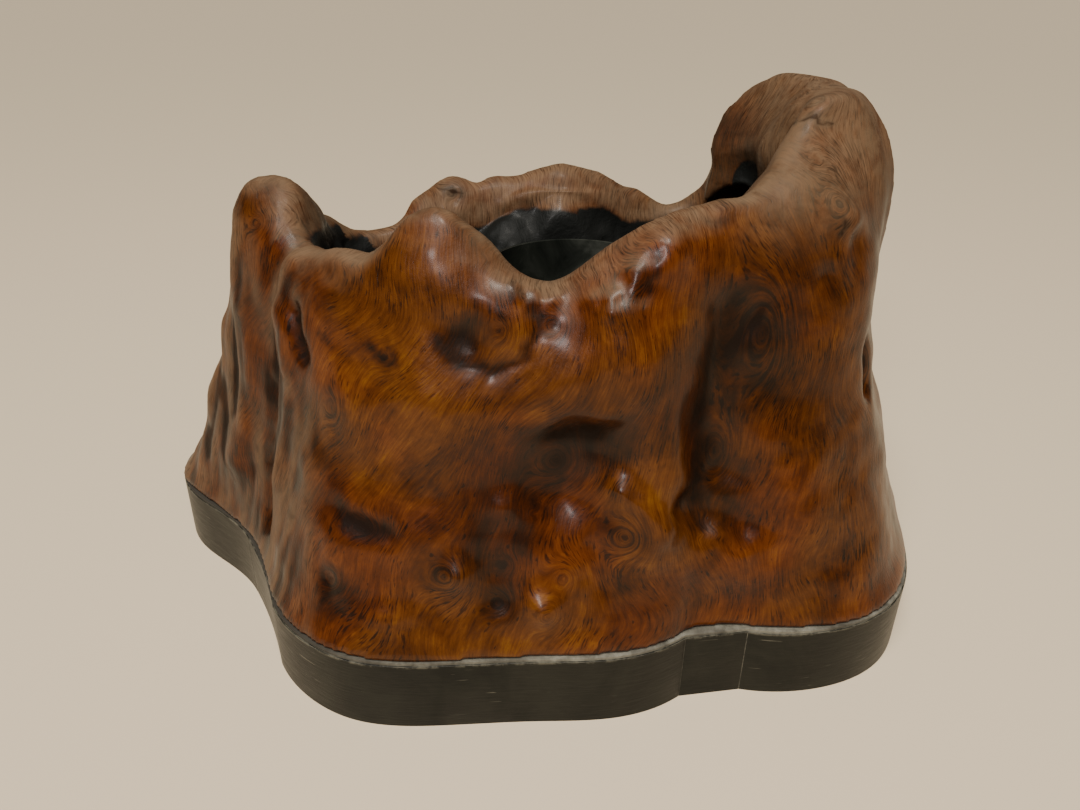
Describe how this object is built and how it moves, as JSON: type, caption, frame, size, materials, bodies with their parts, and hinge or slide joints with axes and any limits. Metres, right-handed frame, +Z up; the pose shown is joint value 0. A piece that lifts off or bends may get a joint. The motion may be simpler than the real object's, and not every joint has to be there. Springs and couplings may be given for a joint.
{
  "type": "burl root flower vessel",
  "caption": "Hollow burl-root flower vessel with a wavy rim and a tall hood, on a shaped black plinth, with a lift-out round liner.",
  "frame": {"origin": "on the surface that the plinth stands on, under the middle of the plinth's box", "axes": "+X to the right of the front, along the longest side, -Y out of the front, +Z up"},
  "size_m": [0.5037, 0.3022, 0.3191],
  "materials": {
    "burl_wood": "clear gloss lacquer, worn satin on the rim",
    "black_lacquer": "black satin lacquer, scratched",
    "filler": "matte wood filler",
    "plain_wood": "bare planed wood",
    "screw_steel": "zinc-plated",
    "liner_metal": "dull dark patina"
  },
  "bodies": {
    "base": {"burl_body": "burl_wood", "filler_bed": "filler", "right_back_block": "black_lacquer", "back_right_block": "black_lacquer", "back_block": "black_lacquer", "back_left_block": "black_lacquer", "left_lobe_block": "black_lacquer", "front_left_block": "black_lacquer", "front_block": "black_lacquer", "front_infill_block": "black_lacquer", "right_front_block": "black_lacquer", "front_plank": "plain_wood", "middle_plank": "plain_wood", "back_plank": "plain_wood", "left_cleat": "plain_wood", "right_cleat": "plain_wood", "plinth_screws": "screw_steel", "cleat_screws": "screw_steel"},
    "liner": {"liner_bottom": "liner_metal", "liner_wall": "liner_metal", "liner_roll": "liner_metal"}
  },
  "joints": [
    {"name": "liner_lift", "type": "slide", "parent": "base", "child": "liner", "axis": [0, 0, 1], "range_m": [0, 0.3]}
  ]
}
